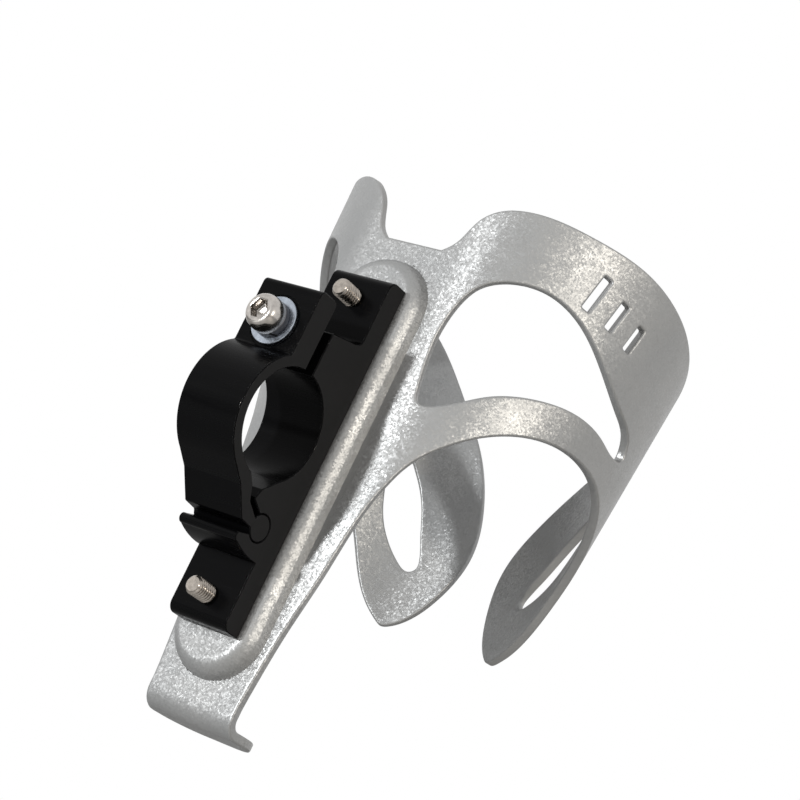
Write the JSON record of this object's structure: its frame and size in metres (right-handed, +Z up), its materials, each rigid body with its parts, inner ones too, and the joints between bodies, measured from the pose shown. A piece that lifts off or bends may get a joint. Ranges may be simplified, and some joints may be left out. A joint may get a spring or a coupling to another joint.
{
  "type": "bottle cage",
  "caption": "Bent-sheet bottle cage with two leaf-shaped arms and a foot shelf, screwed to a hinged clamp for a round handlebar.",
  "frame": {"origin": "Centre of the clamp's bore, on the axis of the handlebar and midway along the clamp.", "axes": "+X along the handlebar, +Y from the handlebar towards the bottle, +Z up along the bottle, from the foot shelf to the open top of the arms."},
  "size_m": [0.0812, 0.1056, 0.1183],
  "materials": {
    "silver_paint": "silver metallic paint with coarse sparkle on aluminium sheet",
    "black_finish": "gloss black finish on extruded aluminium",
    "bolt_steel": "bright stainless steel",
    "spring_steel": "dark spring steel",
    "zinc_steel": "blue-grey bright zinc",
    "screw_steel": "stainless steel, slightly warm"
  },
  "bodies": {
    "holder": {"cage": "silver_paint", "clamp_base": "black_finish", "cage_screw_lower": "screw_steel", "cage_screw_upper": "screw_steel"},
    "washers": {"clamp_flat_washer": "zinc_steel", "clamp_lock_washer": "spring_steel"},
    "bolt": {"clamp_bolt": "bolt_steel"},
    "strap": {"clamp_strap": "black_finish"}
  },
  "joints": [
    {"name": "bolt_travel", "type": "slide", "parent": "holder", "child": "washers", "axis": [0, -1, 0], "range_m": [0, 0.005]},
    {"name": "bolt_spin", "type": "hinge", "parent": "washers", "child": "bolt", "pos_m": [0, -0.01, 0.017], "axis": [0, -1, 0], "range_deg": [0, 2580]},
    {"name": "strap_swing", "type": "hinge", "parent": "holder", "child": "strap", "pos_m": [0, 0.0071, -0.0186], "axis": [1, 0, 0], "range_deg": [0, 5.8]}
  ],
  "couplings": [
    {"joint": "bolt_spin", "follows": "bolt_travel", "rad_per_m": 8976},
    {"joint": "strap_swing", "follows": "bolt_travel", "rad_per_m": 20}
  ]
}
